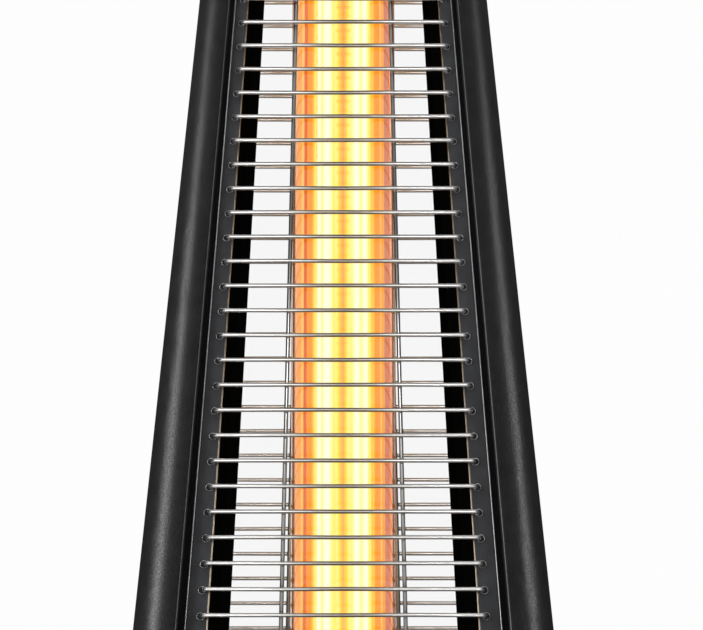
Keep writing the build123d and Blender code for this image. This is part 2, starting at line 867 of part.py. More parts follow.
switch_wide, switch_deep, switch_tall = switch_size
with BuildPart() as switch:
    with Locations((*switch_place, deck_z - SEAT - switch_tall / 2)):
        Box(switch_wide, switch_deep, switch_tall)
save(switch, "tilt_switch")

# Glass tube between its two seals
flange_top = cup_rim + cup_wall
with BuildPart() as tube:
    with BuildSketch(Plane.XY.offset(tube_low)):
        Circle(tube_radius)
        Circle(tube_radius - tube_wall, mode=Mode.SUBTRACT)
    extrude(amount=tube_high - tube_low)
save(tube, "glass_tube")

seal_outer = tube_radius + SEAT + seal_thick
with BuildPart() as low_seal:
    with BuildSketch(Plane.XZ):
        with BuildLine():
            seal_floor = flange_top + SEAT
            seal_lip = tube_radius + SEAT
            Polyline((tube_radius - tube_wall, seal_floor), (seal_outer, seal_floor),
                     (seal_outer, tube_low + seal_height), (seal_lip, tube_low + seal_height),
                     (seal_lip, tube_low - SEAT), (tube_radius - tube_wall, tube_low - SEAT), close=True)
        make_face()
    revolve(axis=Axis.Z)
save(low_seal, "lower_seal")

collar_inner = seal_outer + SEAT
with BuildPart() as low_collar:
    with BuildSketch(Plane.XY.offset(flange_top + SEAT)):
        Circle(cup_flange)
    extrude(amount=collar_wall)
    with BuildSketch(Plane.XY.offset(flange_top + SEAT)):
        Circle(collar_inner + collar_wall)
    extrude(amount=collar_height)
    with BuildSketch(Plane.XY.offset(flange_top + SEAT)):
        Circle(collar_inner)
    extrude(amount=collar_height, mode=Mode.SUBTRACT)
save(low_collar, "lower_collar")

# Top plate: a shallow cap over the post heads
cap_low = post_head_z + SEAT
cap_top = cap_low + cap_sheet
with BuildPart() as top_plate:
    with BuildSketch(Plane.XY.offset(cap_top)):
        RectangleRounded(2 * cap_half, 2 * cap_half, nose_radius_head)
    extrude(amount=-cap_sheet - cap_rim)
    with BuildSketch(Plane.XY.offset(cap_low)):
        inside = cap_half - cap_sheet
        RectangleRounded(2 * inside, 2 * inside, nose_radius_head - cap_sheet)
    extrude(amount=-cap_rim, mode=Mode.SUBTRACT)
    with BuildSketch(Plane.XY.offset(cap_top)):
        Circle(seal_outer + SEAT)
    extrude(amount=-cap_sheet, mode=Mode.SUBTRACT)
save(top_plate, "top_plate")

with BuildPart() as high_seal:
    with BuildSketch(Plane.XY.offset(cap_top - seal_height)):
        Circle(seal_outer)
        Circle(tube_radius + SEAT, mode=Mode.SUBTRACT)
    extrude(amount=seal_height)
save(high_seal, "upper_seal")

with BuildPart() as high_collar:
    with BuildSketch(Plane.XY.offset(cap_top + SEAT)):
        Circle(cup_flange)
        Circle(tube_radius + SEAT, mode=Mode.SUBTRACT)
    extrude(amount=collar_wall)
save(high_collar, "upper_collar")

# Hood on four posts
with BuildPart() as hood_posts:
    with BuildSketch(Plane.XY.offset(cap_top + SEAT)):
        with GridLocations(2 * hood_post_place, 2 * hood_post_place, 2, 2):
            Circle(hood_post_radius)
    extrude(amount=hood_top - cap_top - 2 * SEAT)
save(hood_posts, "reflector_posts")


def hood_solid(inset):
    """The hood's outline, drawn in by a wall, down to its rim."""
    wide, low = hood_half - inset, hood_low - hood_rim
    with BuildPart() as solid:
        with BuildSketch(Plane.XY.offset(low)):
            RectangleRounded(2 * wide, 2 * wide, hood_corner - inset)
        extrude(amount=hood_rim)
        with BuildSketch(Plane.XY.offset(hood_low)):
            RectangleRounded(2 * wide, 2 * wide, hood_corner - inset)
        with BuildSketch(Plane.XY.offset(hood_top + hood_sheet - inset)):
            RectangleRounded(2 * hood_flat, 2 * hood_flat, hood_corner - inset)
        loft(ruled=True)
    return solid.part


with BuildPart() as hood:
    add(hood_solid(0))
    add(hood_solid(hood_sheet), mode=Mode.SUBTRACT)
save(hood, "reflector")

with BuildPart() as nuts:
    with BuildSketch(Plane.XY.offset(hood_top + hood_sheet + SEAT)):
        with GridLocations(2 * hood_post_place, 2 * hood_post_place, 2, 2):
            RegularPolygon(nut_radius, 6)
    extrude(amount=nut_hex_height)
    with BuildSketch(Plane.XY.offset(hood_top + hood_sheet + SEAT)):
        with GridLocations(2 * hood_post_place, 2 * hood_post_place, 2, 2):
            Circle(nut_dome)
    extrude(amount=nut_height, taper=nut_dome_taper)
save(nuts, "reflector_nuts")

# Screws through the panels into the strips
with BuildPart() as screws:
    for turn in (0, 90, 180, 270):
        for share in screw_places:
            z = panel_low + share * (panel_high - panel_low)
            if turn == 0 and z < dash_low:
                continue
            middle = (strip_inner(z) + panel_half(z)) / 2
            for x in (-middle, middle):
                spot = front.from_local_coords(Vector(x, up(z), sheet_front + SEAT))
                head = Plane(origin=spot.rotate(Axis.Z, turn), x_dir=Vector(1, 0, 0).rotate(Axis.Z, turn),
                             z_dir=front.z_dir.rotate(Axis.Z, turn))
                with BuildSketch(head):
                    RegularPolygon(screw_radius, 8)
                extrude(amount=screw_head)
save(screws, "panel_screws")
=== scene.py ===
"""The patio heater dressed for its photograph: finishes, round guard wires, trim and flame."""

import json
import math
import random

import bmesh
import bpy
from mathutils import Matrix, Vector

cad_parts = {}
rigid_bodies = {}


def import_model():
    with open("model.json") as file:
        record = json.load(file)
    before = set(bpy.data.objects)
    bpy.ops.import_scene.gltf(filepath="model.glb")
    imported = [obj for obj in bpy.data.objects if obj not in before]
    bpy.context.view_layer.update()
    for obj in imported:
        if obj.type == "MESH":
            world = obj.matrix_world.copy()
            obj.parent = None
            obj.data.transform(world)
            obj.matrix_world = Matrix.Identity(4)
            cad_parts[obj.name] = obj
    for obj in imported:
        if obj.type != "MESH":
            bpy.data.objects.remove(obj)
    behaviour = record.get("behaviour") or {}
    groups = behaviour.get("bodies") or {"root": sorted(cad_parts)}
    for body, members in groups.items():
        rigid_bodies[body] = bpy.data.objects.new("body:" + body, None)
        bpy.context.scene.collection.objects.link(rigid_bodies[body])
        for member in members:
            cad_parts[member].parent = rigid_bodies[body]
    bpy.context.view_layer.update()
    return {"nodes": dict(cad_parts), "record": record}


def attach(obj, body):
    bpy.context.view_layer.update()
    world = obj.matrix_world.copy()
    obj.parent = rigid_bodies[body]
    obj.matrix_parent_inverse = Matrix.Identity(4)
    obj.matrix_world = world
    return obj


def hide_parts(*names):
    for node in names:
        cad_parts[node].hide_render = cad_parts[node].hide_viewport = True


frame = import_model()
nodes = frame["nodes"]
random.seed(7)

MM = 0.001
WHITE = (1.0, 1.0, 1.0)
BLACK = (0.0, 0.0, 0.0)

# Photograph
PHOTO_WIDTH_PX = 703
FOCAL_PX = 4311.7
AXIS_LEFT_OF_MIDDLE_PX = 8.2
CAMERA_DISTANCE = 4.0
CAMERA_HEIGHT = 0.064
CAMERA_PITCH = math.radians(17.823)
CAMERA_REACH = 200
SENSOR = 36.0

# Posts, as lines that run straight from foot to head: a pair is the distance out at each end
FOOT_Z, HEAD_Z = 42 * MM, 2060 * MM
SEAT_LINE = (252.4 * MM, 95.9 * MM)
STRIP_OUTER = (205.5 * MM, 77.0 * MM)
STRIP_INNER = (172.3 * MM, 70.1 * MM)
LIP_RISE = 3 * MM
LIP_WALL = 1.5 * MM

# Trim on the strips' long edges
TRIM_ENDS = (FOOT_Z + 2 * MM, HEAD_Z - 1 * MM)
TRIM_RADIUS = 0.8 * MM
TRIM_SIDES = 8
FOLD_OUT = -0.35 * MM
LIP_OUT = LIP_RISE - 0.1 * MM
LIP_LINE = tuple(end - LIP_WALL / 2 for end in STRIP_OUTER)

# Guard wires and rods: a pair is the size at the lowest wire and at the highest
WIRE_COUNT = 48
WIRE_PITCH = 25 * MM
WIRE_LOW = 855 * MM
WIRE_RADIUS = 2.0 * MM
WIRE_SIDES = 10
WIRE_STAND = 3.5 * MM
WIRE_END_STAND = 0.1 * MM
BOW_REACH = 0.25 * MM
BOW_PLACES = (-0.45, 0.0, 0.45)
ELBOW_RADIUS = 2.6 * MM
ELBOW_STEPS = 4
ROD_HALF = (59.3 * MM, 38.0 * MM)
ROD_OVERHANG = 8 * MM
BEAD_IN_WIRE_RADII = (1.25, 0.8, 1.3)

# Holes that the wires turn into
HOOK_INSET = (5.4 * MM, 3.3 * MM)
HOLE_RADIUS = (3.7 * MM, 2.3 * MM)
HOLE_SHIFT = (1.6 * MM, 0.4 * MM)
HOLE_STAND = 0.08 * MM
HOLE_SIDES = 14
RIM_RADIUS = 0.35 * MM
RIM_SIDES = 6

# Flame: a profile is heights, each with its share of the full width
FLAME_LOW, FLAME_HIGH = 854 * MM, 2058 * MM
CORE_RADIUS = 26.8 * MM
CORE_SIDES = 64
CORE_PROFILE = [
    (FLAME_LOW, 0.6), (FLAME_LOW + 25 * MM, 0.86), (FLAME_LOW + 70 * MM, 1.0), (FLAME_HIGH, 1.0)]
CORE_GLOW = 1.06
TONGUE_EDGE = (0.45, 0.70)
TONGUE_WAVER = 0.55
TONGUE_NARROWING = 0.24
TONGUE_FULL_Z = 1.8
PALE_DRIFT = 0.18
ECHO_RISE = 9 * MM
ECHO_SHARPNESS = 9.0
ECHO_DEPTH = 0.11
ECHO_GROWTH = (1.15, 1.6)
VEIL_START = 0.5 * CORE_RADIUS
VEIL_REACH = 47.6 * MM
VEIL_PROFILE = [
    (FLAME_LOW, 0.55), (FLAME_LOW + 30 * MM, 0.85), (FLAME_LOW + 80 * MM, 1.0), (FLAME_HIGH, 1.0)]
VEIL_WAVER = 0.03
VEIL_ALPHA = 0.95
VEIL_GLOW = 1.08

# Colours of the fire, from pale to dark
NEAR_WHITE = (1.0, 0.99, 0.76)
CREAM = (1.0, 0.96, 0.44)
LEMON = (0.99, 0.92, 0.30)
STRAW = (0.98, 0.86, 0.18)
PALE_YELLOW = (0.98, 0.80, 0.18)
YELLOW = (0.98, 0.54, 0.02)
LIGHT_ORANGE = (1.0, 0.50, 0.09)
ORANGE = (1.0, 0.27, 0.0)
TAN_ORANGE = (0.93, 0.31, 0.03)
DARK_RED = (0.68, 0.09, 0.004)
ROSE = (0.50, 0.12, 0.05)
BROWN = (0.30, 0.08, 0.02)

# Bands across a tongue of the core, from its middle out to the pale fire beside it
TONGUE_BANDS = [
    (0.10, (0.97, 0.38, 0.05)), (0.24, (0.96, 0.52, 0.14)), (0.33, (0.97, 0.60, 0.05)),
    (0.43, (0.98, 0.76, 0.07)), (0.56, (0.98, 0.90, 0.30)), (0.66, (0.98, 0.95, 0.46))]

# Bands across the pale fire, from one tongue to the next
PALE_BANDS = [
    (0.10, STRAW), (0.17, STRAW), (0.23, CREAM), (0.28, NEAR_WHITE), (0.36, NEAR_WHITE), (0.43, LEMON),
    (0.48, CREAM), (0.53, NEAR_WHITE), (0.63, NEAR_WHITE), (0.69, CREAM), (0.76, STRAW), (0.90, STRAW)]

# Bands of the veils, by radius in millimetres
LEFT_BANDS = [
    (26, PALE_YELLOW), (27.6, PALE_YELLOW), (29.0, YELLOW), (31.0, ORANGE), (35.0, ORANGE),
    (36.0, DARK_RED), (38.2, DARK_RED), (39.0, LIGHT_ORANGE), (40.6, LIGHT_ORANGE),
    (41.4, TAN_ORANGE), (46.6, TAN_ORANGE), (47.6, BROWN)]
RIGHT_BANDS = [
    (26, PALE_YELLOW), (27.2, YELLOW), (29.6, YELLOW), (30.8, ORANGE), (35.5, ORANGE),
    (36.1, LIGHT_ORANGE), (37.0, LIGHT_ORANGE), (37.7, TAN_ORANGE), (39.7, TAN_ORANGE),
    (40.7, ROSE), (43.9, ROSE), (44.7, DARK_RED), (45.6, DARK_RED), (46.4, ORANGE)]

# Bands of the guard wires, from the middle of a face out to its corners: painted shade, warm with the
# fire's light, at the middle, paling to a painted highlight at the corners
WIRE_SHADE_BANDS = [
    (0.0, (0.25, 0.22, 0.19)), (0.18, (0.34, 0.32, 0.29)), (0.36, (0.62, 0.61, 0.59)),
    (0.65, (0.86, 0.85, 0.84))]
WIRE_BAND_MOTTLE = 0.16

# Paint of the posts: a face is outside where its plane lies this far out from the middle; a face further in
# gets painted shade, near black and without shine
OUTSIDE_FROM = 80 * MM
OUTSIDE_GLOSS = 0.4
HOLLOW_PAINTED_SHADE = (0.0012, 0.0011, 0.001)

# Studio: grey levels, and strengths of light
FLOOR_SIZE = 80
FLOOR_GREY, FLOOR_GREY_SEEN = 0.25, 0.4
FLOOR_GLOW_SEEN = 0.62
SKY_GREYS = [(0.0, 0.025), (0.5, 0.025), (0.68, 0.05), (0.82, 0.4), (1.0, 1.0)]
SKY_STRENGTH = 0.8
# Painted shade on the backdrop behind the heater: where it starts and ends, and its strengths
BACKDROP_EDGE = (0.028, 0.033)
BACKDROP_STRENGTH = (0.92, 0.985)

# Turns in degrees, from the front face and from the front right post
TURNS = {"front": 0, "right": 90, "rear": 180, "left": 270}
CORNERS = {"front_right": 0, "rear_right": 90, "rear_left": 180, "front_left": 270}


def line(ends, z, low=FOOT_Z, high=HEAD_Z):
    """The value at height z of a line given at its two ends."""
    return ends[0] + (ends[1] - ends[0]) * (z - low) / (high - low)


def grey(level):
    return level, level, level


TILT = math.atan((SEAT_LINE[0] - SEAT_LINE[1]) / (HEAD_Z - FOOT_Z))
WIRE_STEP = WIRE_PITCH * math.cos(TILT)
WIRE_HIGH = WIRE_LOW + (WIRE_COUNT - 1) * WIRE_STEP


# Building blocks of the materials
def feed(tree, socket, value):
    """Gives an input another's output or a fixed value, where a colour is three numbers."""
    if isinstance(value, bpy.types.NodeSocket):
        tree.links.new(value, socket)
    else:
        socket.default_value = (*value, 1) if socket.type == "RGBA" else value


def feed_all(tree, node, inputs):
    for key, value in inputs.items():
        feed(tree, node.inputs[key], value)


def add_node(tree, kind, inputs=None, **settings):
    """A new node, with its settings made and its inputs, by name or number, fed."""
    node = tree.nodes.new("ShaderNode" + kind)
    for setting, value in settings.items():
        setattr(node, setting, value)
    feed_all(tree, node, inputs or {})
    return node


def maths(tree, operation, *values):
    """A sum on one or two values, each an output or a number."""
    return add_node(tree, "Math", dict(enumerate(values)), operation=operation).outputs[0]


def vector_maths(tree, operation, *values, result="Vector"):
    """A sum on one or two vectors, which gives a vector or, if asked for, a value."""
    node = add_node(tree, "VectorMath", dict(enumerate(values)), operation=operation)
    return node.outputs[result]


def swing(tree, value, amount):
    """Noise from 0 to 1 made to swing about nought."""
    return maths(tree, "MULTIPLY", maths(tree, "SUBTRACT", value, 0.5), amount)


def ranged(tree, value, source, target=(0.0, 1.0)):
    """Maps one range of a value onto another and holds it at the ends."""
    inputs = {"Value": value, "From Min": source[0], "From Max": source[1],
              "To Min": target[0], "To Max": target[1]}
    return add_node(tree, "MapRange", inputs).outputs["Result"]


def spread(tree, value, low, high):
    """Maps noise, which mostly keeps to its middle, onto a range."""
    return ranged(tree, value, (0.25, 0.75), (low, high))


def colour_steps(tree, value, stops):
    """A ramp of colours with stops of place and colour."""
    ramp = add_node(tree, "ValToRGB", {"Fac": value})
    elements = ramp.color_ramp.elements
    elements.remove(elements[1])
    elements[0].position, elements[0].color = stops[0][0], (*stops[0][1], 1)
    for position, colour in stops[1:]:
        elements.new(position).color = (*colour, 1)
    return ramp.outputs["Color"]


def tint(tree, value, dark, light):
    """A colour between two, by noise."""
    return colour_steps(tree, value, [(0.3, dark), (0.7, light)])


def blend(tree, share, first, second):
    """Mixes two colours, each an output or a fixed colour."""
    inputs = {"Factor": share, "A": first, "B": second}
    return add_node(tree, "Mix", inputs, data_type="RGBA").outputs["Result"]


def own_place(tree):
    """The place of a point in the object's own coordinates."""
    return add_node(tree, "TexCoord").outputs["Object"]


def x_y_z(tree, vector):
    return add_node(tree, "SeparateXYZ", {0: vector}).outputs[:3]


def noise(tree, scale, detail=3.0, stretch=(1, 1, 1)):
    """Noise over the object's own coordinates."""
    place = add_node(tree, "Mapping", {"Vector": own_place(tree), "Scale": stretch}).outputs["Vector"]
    return add_node(tree, "TexNoise", {"Vector": place, "Scale": scale, "Detail": detail}).outputs["Fac"]


def bump(tree, height, strength, distance):
    inputs = {"Height": height, "Strength": strength, "Distance": distance}
    return add_node(tree, "Bump", inputs).outputs["Normal"]


def new_material(name):
    material = bpy.data.materials.new(name)
    material.use_nodes = True
    tree = material.node_tree
    return material, tree, tree.nodes["Principled BSDF"]


# Coats, metals, plastics and glass
def powder_coat(name, dark, light, rough, gloss=0.3):
    """Baked powder coat: a fine grain that is uneven in shine, over a slight mottle."""
    material, tree, shader = new_material(name)
    grain = noise(tree, scale=650, detail=1)
    feed_all(tree, shader, {
        "Base Color": tint(tree, noise(tree, scale=60), dark, light),
        "Roughness": spread(tree, grain, rough - 0.08, rough + 0.08),
        "Specular IOR Level": gloss,
        "Normal": bump(tree, grain, strength=0.5, distance=0.2 * MM)})
    return material


def post_paint_and_shade():
    """Powder coat outside, and painted shade on the faces further in: near black and without shine, for the
    dark hollow behind the guards.
    """
    material, tree, shader = new_material("post_paint_and_shade")
    normal = add_node(tree, "NewGeometry").outputs["Normal"]
    outward = vector_maths(tree, "DOT_PRODUCT", own_place(tree), normal, result="Value")
    outside = maths(tree, "GREATER_THAN", outward, OUTSIDE_FROM)
    coat = tint(tree, noise(tree, scale=60), dark=(0.016, 0.0165, 0.018), light=(0.026, 0.0265, 0.029))
    # Faces further in get painted shade: near black, with no shine
    feed_all(tree, shader, {
        "Base Color": blend(tree, outside, HOLLOW_PAINTED_SHADE, coat),
        "Roughness": spread(tree, noise(tree, scale=25), low=0.4, high=0.5),
        "Specular IOR Level": maths(tree, "MULTIPLY", outside, OUTSIDE_GLOSS),
        "Normal": bump(tree, noise(tree, scale=1400, detail=2), strength=0.2, distance=0.2 * MM)})
    return material


def metal(name, dark, light, rough, stretch=(1, 1, 1), scale=300, marking=0.05):
    """Bare metal with fine marks, which are drawn out where it is brushed."""
    material, tree, shader = new_material(name)
    marks = noise(tree, scale, detail=4, stretch=stretch)
    feed_all(tree, shader, {
        "Metallic": 1.0,
        "Base Color": tint(tree, marks, dark, light),
        "Roughness": spread(tree, marks, rough - 0.06, rough + 0.08),
        "Normal": bump(tree, marks, strength=marking, distance=0.1 * MM)})
    return material


def wire_steel():
    """Drawn steel wire with painted light: a painted highlight at the ends of each face and painted shade,
    warm with the fire's light, at its middle.
    """
    material, tree, shader = new_material("guard_steel")
    x, y, _ = x_y_z(tree, own_place(tree))
    sides = [maths(tree, "ABSOLUTE", side) for side in (x, y)]
    off_middle = maths(tree, "DIVIDE", maths(tree, "MINIMUM", *sides), maths(tree, "MAXIMUM", *sides))
    mottle = swing(tree, noise(tree, scale=40, detail=2), WIRE_BAND_MOTTLE)
    # Base colour holds painted shade at the middle of each face and a painted highlight toward its corners
    feed_all(tree, shader, {
        "Metallic": 1.0,
        "Base Color": colour_steps(tree, maths(tree, "ADD", off_middle, mottle), WIRE_SHADE_BANDS),
        "Roughness": 0.33})
    return material


def moulded(name, dark, light, rough, grain=900, graining=0.2):
    """Moulded plastic, rubber or glaze with a fine grain."""
    material, tree, shader = new_material(name)
    feed_all(tree, shader, {
        "Base Color": tint(tree, noise(tree, scale=40), dark, light),
        "Roughness": spread(tree, noise(tree, scale=80), rough - 0.05, rough + 0.08),
        "Normal": bump(tree, noise(tree, grain, detail=2), strength=graining, distance=0.2 * MM)})
    return material


def quartz_glass():
    """Clear quartz with slightly uneven walls and a faint painted glow of the fire's orange light."""
    material, tree, shader = new_material("quartz")
    waves = noise(tree, scale=12, detail=2, stretch=(1, 1, 0.15))
    feed_all(tree, shader, {
        "Base Color": WHITE,
        "Transmission Weight": 1.0,
        "IOR": 1.45,
        "Specular IOR Level": 0.1,
        # Painted light: a faint orange glow for the fire's light in the glass
        "Emission Color": (1.0, 0.33, 0.06),
        "Emission Strength": 0.06,
        "Roughness": spread(tree, noise(tree, scale=6, detail=4), low=0.0, high=0.02),
        "Normal": bump(tree, waves, strength=0.01, distance=0.2 * MM)})
    return material


# Fire
def about_axis(tree):
    """The place of a point about the tube: its direction as a unit vector, its radius and height."""
    place = own_place(tree)
    flat = vector_maths(tree, "MULTIPLY", place, (1, 1, 0))
    around = vector_maths(tree, "NORMALIZE", flat)
    radius = vector_maths(tree, "LENGTH", flat, result="Value")
    return around, radius, x_y_z(tree, place)[2]


def flame_streaks(tree, around, height, scale, seed, waver=0.5):
    """Upright streaks round the flame that waver with height."""
    rise = add_node(tree, "CombineXYZ", {"Z": maths(tree, "MULTIPLY", height, waver)}).outputs[0]
    inputs = {"Vector": vector_maths(tree, "ADD", around, rise), "W": seed, "Scale": scale, "Detail": 2}
    return add_node(tree, "TexNoise", inputs, noise_dimensions="4D").outputs["Fac"]


def wire_echoes(tree, height):
    """Short marks, one to each wire, where the guard dims the fire; they fade out lower down."""
    above = maths(tree, "SUBTRACT", height, WIRE_LOW + ECHO_RISE)
    turns = maths(tree, "MULTIPLY", above, 2 * math.pi / WIRE_STEP)
    wave = maths(tree, "MAXIMUM", maths(tree, "COSINE", turns), 0.0)
    marks = maths(tree, "POWER", wave, ECHO_SHARPNESS)
    return maths(tree, "MULTIPLY", marks, ranged(tree, height, ECHO_GROWTH))


def shine(tree, shader, colour, strength):
    """Makes a surface give off a colour and reflect nothing."""
    feed_all(tree, shader, {
        "Base Color": BLACK,
        "Roughness": 1.0,
        "Specular IOR Level": 0.0,
        "Emission Color": colour,
        "Emission Strength": strength})


def core_paint():
    """The bright core: pale fire between four upright tongues of orange that widen as they rise."""
    material, tree, shader = new_material("core_glow")
    around, _, height = about_axis(tree)
    x, y, _ = x_y_z(tree, around)
    off_axis = maths(tree, "ABSOLUTE", maths(tree, "MULTIPLY", maths(tree, "MULTIPLY", x, y), 2.0))
    waver = swing(tree, flame_streaks(tree, around, height, scale=4.5, seed=1.0), TONGUE_WAVER)
    below_full = maths(tree, "SUBTRACT", TONGUE_FULL_Z, height)
    narrowing = maths(tree, "MAXIMUM", maths(tree, "MULTIPLY", below_full, TONGUE_NARROWING), 0.0)
    echo = maths(tree, "MULTIPLY", wire_echoes(tree, height), -ECHO_DEPTH)
    place = maths(tree, "ADD", maths(tree, "ADD", off_axis, waver), maths(tree, "ADD", narrowing, echo))
    quarters = maths(tree, "MULTIPLY", maths(tree, "ARCTAN2", y, x), 2 / math.pi)
    drift = swing(tree, flame_streaks(tree, around, height, scale=3.6, seed=3.0, waver=0.4), PALE_DRIFT)
    across_face = maths(tree, "FRACT", maths(tree, "ADD", quarters, drift))
    tongue = colour_steps(tree, place, TONGUE_BANDS)
    pale = colour_steps(tree, across_face, PALE_BANDS)
    shine(tree, shader, blend(tree, ranged(tree, place, TONGUE_EDGE), tongue, pale), CORE_GLOW)
    return material


def veil_paint(name, bands):
    """An orange veil, banded from the core out to the glass; its bands are given by radius."""
    material, tree, shader = new_material(name)
    around, radius, height = about_axis(tree)
    shift = swing(tree, flame_streaks(tree, around, height, scale=3.0, seed=5.0, waver=6.0), VEIL_WAVER)
    place = maths(tree, "ADD", maths(tree, "MULTIPLY", radius, 1 / VEIL_REACH), shift)
    colour = colour_steps(tree, place, [(radius_mm * MM / VEIL_REACH, rgb) for radius_mm, rgb in bands])
    shine(tree, shader, colour, VEIL_GLOW)
    feed(tree, shader.inputs["Alpha"], VEIL_ALPHA)
    return material


# Finishes of the solids
sheet_steel = metal("sheet_steel", (0.5, 0.49, 0.48), (0.62, 0.61, 0.6), rough=0.3,
                    stretch=(1, 1, 0.05), scale=900)
guard_steel = wire_steel()
strip_paint_and_shade = post_paint_and_shade()
FINISHES = {
    "cover_black": powder_coat("cover_paint", (0.005, 0.005, 0.0054), (0.008, 0.008, 0.0085), rough=0.36,
                               gloss=0.22),
    "black_steel": powder_coat("sheet_paint", (0.012, 0.012, 0.013), (0.018, 0.018, 0.019), rough=0.42),
    "guard_wire": guard_steel,
    "stainless": sheet_steel,
    "brushed_plate": sheet_steel,
    "bright_metal": metal("bright_steel", grey(0.6), grey(0.75), rough=0.2),
    "hood_metal": metal("hood_metal", (0.6, 0.6, 0.61), (0.74, 0.74, 0.75), rough=0.34,
                        stretch=(1, 0.04, 1), scale=700),
    "aluminium_pipe": metal("pipe_metal", grey(0.66), grey(0.8), rough=0.3),
    "cast_body": metal("cast_metal", grey(0.36), grey(0.5), rough=0.5, scale=250, marking=0.3),
    "brass": metal("brass", (0.6, 0.42, 0.16), (0.75, 0.55, 0.25), rough=0.25),
    "copper": metal("copper", (0.6, 0.3, 0.18), (0.8, 0.45, 0.3), rough=0.3),
    "black_plastic": moulded("black_plastic", grey(0.012), grey(0.02), rough=0.45),
    "tyre": moulded("tyre_rubber", grey(0.015), grey(0.028), rough=0.8),
    "seal": moulded("seal_rubber", grey(0.02), (0.035, 0.033, 0.032), rough=0.75),
    "ceramic": moulded("ceramic", (0.72, 0.7, 0.66), (0.82, 0.8, 0.77), rough=0.2, grain=300,
                       graining=0.05),
    "quartz": quartz_glass(),
}

# Finishes of the modelled pieces
# The folds' warm tint is painted reflection of the fire's orange light
edge_metal = metal("edge_metal", (0.17, 0.14, 0.11), (0.25, 0.21, 0.17), rough=0.4)
lip_metal = metal("lip_metal", grey(0.16), grey(0.24), rough=0.45)
rim_metal = metal("rim_metal", grey(0.34), grey(0.46), rough=0.3)
# Black discs of painted shade for the dark inside of the holes
hole_painted_shade = moulded("hole_painted_shade", grey(0.001), grey(0.002), rough=0.9)


def dress(obj, material):
    obj.data.materials.clear()
    obj.data.materials.append(material)


for part in frame["record"]["subparts"]:
    name = part["node"]
    dress(nodes[name], strip_paint_and_shade if name.startswith("post_") else FINISHES[part["material_slot"]])


# Modelled pieces
def new_piece(name, bm, material, body="stand"):
    """Makes a piece of a finished shape and lets it ride on a body."""
    data = bpy.data.meshes.new(name)
    bmesh.ops.recalc_face_normals(bm, faces=bm.faces)
    bm.to_mesh(data)
    bm.free()
    obj = bpy.data.objects.new(name, data)
    bpy.context.scene.collection.objects.link(obj)
    dress(obj, material)
    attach(obj, body)
    return obj


def circle(centre, across, up, radius, sides):
    """Points round a centre, from two unit directions that are square to each other."""
    turns = (2 * math.pi * side / sides for side in range(sides))
    return [centre + radius * (math.cos(turn) * across + math.sin(turn) * up) for turn in turns]


def skin(bm, outlines, closed_ends=True):
    """A smooth skin over a row of outlines, with flat ends."""
    rings = [[bm.verts.new(point) for point in outline] for outline in outlines]
    for low, high in zip(rings, rings[1:]):
        for corners in zip(low, low[1:] + low[:1], high[1:] + high[:1], high):
            bm.faces.new(corners).smooth = True
    if closed_ends:
        bm.faces.new(rings[0][::-1])
        bm.faces.new(rings[-1])


def tube_along(bm, points, radius, sides, closed_ends=True):
    """A round bar through the points, mitred at each bend."""
    outlines = []
    across = None
    for index, point in enumerate(points):
        before = (point - points[index - 1]).normalized() if index else None
        after = (points[index + 1] - point).normalized() if index < len(points) - 1 else None
        along = ((before or after) + (after or before)).normalized()
        if across is None:
            across = along.orthogonal().normalized()
        across = (across - along * across.dot(along)).normalized()
        outlines.append(circle(point, across, along.cross(across), radius, sides))
    skin(bm, outlines, closed_ends)


def turned(points, spin):
    return [spin @ point for point in points]


def on_face(x, z, out):
    """A point of the front's sloping face at height z, moved out square to the face."""
    return Vector((x, -line(SEAT_LINE, z) - out * math.cos(TILT), z + out * math.sin(TILT)))


def on_guard(ends, z):
    """The value at height z of a line given at the lowest wire and at the highest."""
    return line(ends, z, WIRE_LOW, WIRE_HIGH)


def hook_half(z):
    """Half the distance between the ends of the wire at height z."""
    return line(STRIP_INNER, z) + on_guard(HOOK_INSET, z)


def wire_heights():
    return [WIRE_LOW + count * WIRE_STEP for count in range(WIRE_COUNT)]


def wire_path(z):
    """A guard wire from hole to hole, with a tight bend before each hole and a slight bow between."""
    half = hook_half(z)
    right = [on_face(half, z, WIRE_END_STAND)]
    for step in range(ELBOW_STEPS + 1):
        turn = math.pi / 2 * step / ELBOW_STEPS
        x = half - ELBOW_RADIUS * (1 - math.cos(turn))
        right.append(on_face(x, z, WIRE_STAND - ELBOW_RADIUS + ELBOW_RADIUS * math.sin(turn)))
    left = [Vector((-p.x, p.y, p.z)) for p in right]
    lifts = [random.uniform(-1, 1) * BOW_REACH for _ in BOW_PLACES]
    middle = [on_face(share * half, z + lift, WIRE_STAND) for share, lift in zip(BOW_PLACES, lifts)]
    return left + middle + right[::-1]


def weld_spot(bm, place, spin):
    """A small fused bead where a wire crosses an upright rod."""
    bead = bmesh.ops.create_icosphere(bm, subdivisions=2, radius=1.0)["verts"]
    shape = Matrix.Diagonal((*(share * WIRE_RADIUS for share in BEAD_IN_WIRE_RADII), 1))
    bmesh.ops.transform(bm, matrix=spin @ Matrix.Translation(place) @ shape, verts=bead)
    for vert in bead:
        for face in vert.link_faces:
            face.smooth = True


def build_guard(side, spin):
    """The wires of one face, welded to two upright rods behind them."""
    bm = bmesh.new()
    for z in wire_heights():
        tube_along(bm, turned(wire_path(z), spin), WIRE_RADIUS, WIRE_SIDES)
    rod_ends = (WIRE_LOW - ROD_OVERHANG, WIRE_HIGH + ROD_OVERHANG)
    for sign in (-1, 1):
        rod = [on_face(sign * on_guard(ROD_HALF, z), z, WIRE_STAND - 2 * WIRE_RADIUS) for z in rod_ends]
        tube_along(bm, turned(rod, spin), WIRE_RADIUS, WIRE_SIDES)
        for z in wire_heights():
            weld_spot(bm, on_face(sign * on_guard(ROD_HALF, z), z, WIRE_STAND - WIRE_RADIUS), spin)
    piece = new_piece(f"wires_{side}", bm, guard_steel)
    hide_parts(f"guard_{side}")


